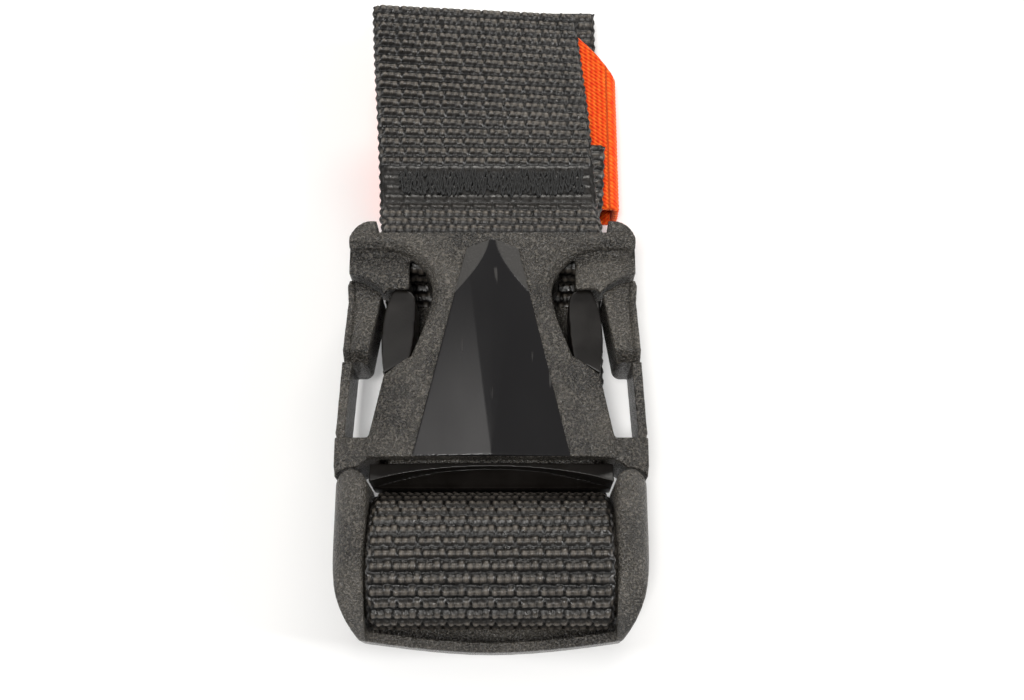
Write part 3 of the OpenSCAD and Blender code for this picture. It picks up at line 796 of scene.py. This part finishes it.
# the first colour is painted shade for the weave's gaps, the last painted highlight for its crowns
WEBBING = woven("black_webbing", (0.001, 0.0009, 0.0008), (0.0125, 0.0103, 0.0084),
                (0.125, 0.109, 0.091), 0.34, 0.02, (9, 1.2, 9))
TACK = woven("black_thread", (0.003, 0.003, 0.003), (0.012, 0.011, 0.01),
             (0.035, 0.032, 0.03), 0.5, 0.1, (6, 6, 6))
ORANGE = knitted("orange_band")
ORANGE_THREAD = woven("orange_thread", (0.5, 0.03, 0.004), (0.8, 0.09, 0.01),
                      (0.95, 0.17, 0.03), 0.6, 0.2, (6, 6, 6))

# ---- pieces ----


def set_up(obj, body, material, slot, *replaced):
    """Finishes a piece. body is a name, or a tuple of two names and two points that is not used
    beyond its type: such a piece is baked in place, not attached.
    """
    obj.data.materials.clear()
    obj.data.materials.append(material)
    to_metres(obj)
    if isinstance(body, str):
        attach(obj, body)
    else:
        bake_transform(obj)
    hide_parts(*replaced)
    return obj


def panel():
    """The polished centre: two facets and a soft ridge, with grained top corners."""
    obj = moulding("centre_facets", ["centre_panel"], 0.09, 3)
    co = points_of(obj.data)
    apex_y = PANEL_HIGH[1]
    reach = np.clip((apex_y - co[:, 1]) / 6.2, 0, 1)
    border = 0.25 + 3.6 * reach**1.6
    grained = ramp(np.abs(co[:, 0]) - border, 0.0, 0.18) * (reach < 1)
    give_attribute(obj.data, "grained", grained)
    return obj


def make_socket():
    """Shell with its strap bar, and the polished panel on its front."""
    shell = moulding("socket_moulding", ["socket_shell", "strap_bar"], 0.15, 5)
    sculpt_socket(shell.data)
    set_up(shell, "socket", TEXTURED, "textured_plastic", "socket_shell", "strap_bar")
    set_up(panel(), "socket", GLOSS, "polished_plastic", "centre_panel")


def sculpt_pad(mesh, node, side):
    """Slopes the pad's foot, and cuts a groove beside its outer wall."""
    low, high = corners(node)
    co = points_of(mesh)
    top = ramp(co[:, 2], high[2] - 4, high[2] - 0.2) * ramp(co[:, 1], low[1] - 0.05, low[1] + 0.35)
    foot = np.clip(low[1] + 1.35 - co[:, 1], 0, None)
    outer = np.interp(co[:, 1], [low[1], high[1] - 2.7, high[1]],
                      [SIDE_X - 0.14, SIDE_X - 0.45, SIDE_X - 0.25])
    groove = np.exp(-(((outer - 0.72 - co[:, 0] * side) / 0.14) ** 2))
    co[:, 2] -= top * (1.9 * foot + 0.3 * groove * (co[:, 1] > low[1] + 0.4))
    set_points(mesh, co)


def make_lever(side_name, side):
    """Arm and pad, rooted in the flange by a thin living hinge."""
    arm_low, arm_high = corners(f"{side_name}_lever_arm")
    x0, x1 = sorted((side * (SIDE_X - 0.75), side * (SIDE_X + 0.12)))
    root = [(x0, 3.2, arm_low[2] + 0.1), (x1, 4.4, arm_high[2] - 0.1)]
    obj = moulding(f"{side_name}_lever", [f"{side_name}_lever_arm", f"{side_name}_press_pad"],
                   0.11, 4, [root])
    sculpt_pad(obj.data, f"{side_name}_press_pad", side)
    x = side * (SIDE_X - 0.3) * MM
    z = FRONT_Z * MM
    set_up(obj, ("socket", f"{side_name}_lever", (x, 3.5 * MM, z), (x, 5.4 * MM, z)),
           TEXTURED, "textured_plastic", f"{side_name}_lever_arm", f"{side_name}_press_pad")


def make_prong(side_name, side):
    """Sprung arm with its barbed head, rooted in the plug's base."""
    arm_low, arm_high = corners(f"{side_name}_prong_arm")
    x0, x1 = sorted((side * (SIDE_X - 7.1), side * (SIDE_X - 5.7)))
    root = [(x0, 2.6, arm_low[2]), (x1, 3.9, arm_high[2])]
    obj = moulding(f"{side_name}_prong", [f"{side_name}_prong_arm", f"{side_name}_prong_head"],
                   0.11, 14, [root])
    x = side * (SIDE_X - 6.4) * MM
    z = FRONT_Z * MM
    set_up(obj, ("plug", f"{side_name}_prong", (x, 3.1 * MM, z), (x, 5.0 * MM, z)),
           SATIN, "smooth_plastic", f"{side_name}_prong_arm", f"{side_name}_prong_head")


def sculpt_crossbar(mesh):
    """Tilts the top towards the mouth, and slopes the foot up to the bowed wall."""
    low, high = corners("crossbar")
    co = points_of(mesh)
    sag = (1 - (co[:, 0] / SLOT_HALF) ** 2) * CROSSBAR_SAG
    behind = np.clip(co[:, 1] - low[1] - sag, 0, None)
    co[:, 2] -= 0.3 * behind * ramp(co[:, 2], high[2] - 1.6, high[2] - 0.1)
    step_z = low[2] + CROSSBAR_FOOT
    step = (np.abs(co[:, 2] - step_z) < 0.2) & (co[:, 1] < low[1] + sag + 0.05)
    co[step, 2] += 1.5 * np.clip(co[step, 1] - low[1] - 0.1, 0, None)
    set_points(mesh, co)


def make_plug():
    """Rails, bars and tongue in one moulding, and the smooth crossbar."""
    rails = ["left_rail", "right_rail", "adjuster_bar", "end_bar", "guide_tongue"]
    obj = moulding("plug_moulding", rails, 0.15, 5)
    set_up(obj, "plug", TEXTURED, "textured_plastic", *rails)
    bar = moulding("crossbar_face", ["crossbar"], 0.1, 6)
    sculpt_crossbar(bar.data)
    set_up(bar, "plug", SATIN, "smooth_plastic", "crossbar")


def make_straps():
    set_up(adjustable_webbing(), "plug", WEBBING, "black_webbing", "adjustable_strap")
    set_up(sewn_webbing(), "front_strap", WEBBING, "black_webbing", "sewn_strap")
    set_up(tack_stitches(), "front_strap", TACK, "black_thread", "bar_tack")
    set_up(keeper_loop(), "keeper", ORANGE, "orange_band", "keeper_band")
    set_up(keeper_stitches(), "keeper", ORANGE_THREAD, "orange_thread", "keeper_seam")


# ---- stage ----


def area_light(name, place, aim, size, power, colour=(1, 1, 1)):
    data = bpy.data.lights.new(name, "AREA")
    data.shape = "RECTANGLE"
    data.size, data.size_y = size
    data.energy = power
    data.color = colour
    obj = bpy.data.objects.new(name, data)
    bpy.context.scene.collection.objects.link(obj)
    obj.location = place
    obj.rotation_euler = (Vector(aim) - Vector(place)).to_track_quat("-Z", "Y").to_euler()


def make_stage():
    """Pale floor, a pale sky and five soft lights."""
    side = 3.0
    mesh = bpy.data.meshes.new("floor")
    z = cad_box[0].z - 0.00003
    mesh.from_pydata([(-side, -side, z), (side, -side, z), (side, side, z), (-side, side, z)],
                     [], [(0, 1, 2, 3)])
    floor = add_object("floor", mesh)
    floor.data.materials.append(floor_material())
    world = bpy.data.worlds.new("studio")
    world.use_nodes = True
    background = world.node_tree.nodes["Background"]
    background.inputs[0].default_value = (1.0, 1.0, 1.0, 1)
    background.inputs[1].default_value = 0.22
    bpy.context.scene.world = world
    centre = (0, 0.015, 0.01)
    area_light("key", (-0.05, -0.12, 0.46), centre, (0.08, 0.08), 0.95, (1, 0.985, 0.96))
    area_light("sheen", (-0.075, 0.1, 0.44), centre, (0.1, 0.12), 0.07, (1, 0.97, 0.94))
    area_light("back", (0.05, 0.42, 0.3), centre, (0.3, 0.1), 1.1, (1, 0.97, 0.92))
    area_light("right", (0.42, -0.04, 0.24), centre, (0.08, 0.2), 1.3)
    area_light("left", (-0.42, -0.02, 0.24), centre, (0.08, 0.2), 0.9)


def make_camera():
    """A short distance above the front, looking down at 72 degrees, as a product shot."""
    data = bpy.data.cameras.new("camera")
    data.sensor_width = 36
    data.lens = 40.8
    data.clip_start = 0.005
    camera = bpy.data.objects.new("camera", data)
    bpy.context.scene.collection.objects.link(camera)
    camera.location = (2.15 * MM, -25.06 * MM, 130.0 * MM)
    camera.rotation_euler = (math.radians(90 - 72), 0, 0)
    bpy.context.scene.camera = camera
    bpy.context.scene.view_settings.view_transform = "Standard"


make_camera()
make_socket()
for side_name, side in (("left", -1), ("right", 1)):
    make_lever(side_name, side)
    make_prong(side_name, side)
make_plug()
make_straps()
make_stage()
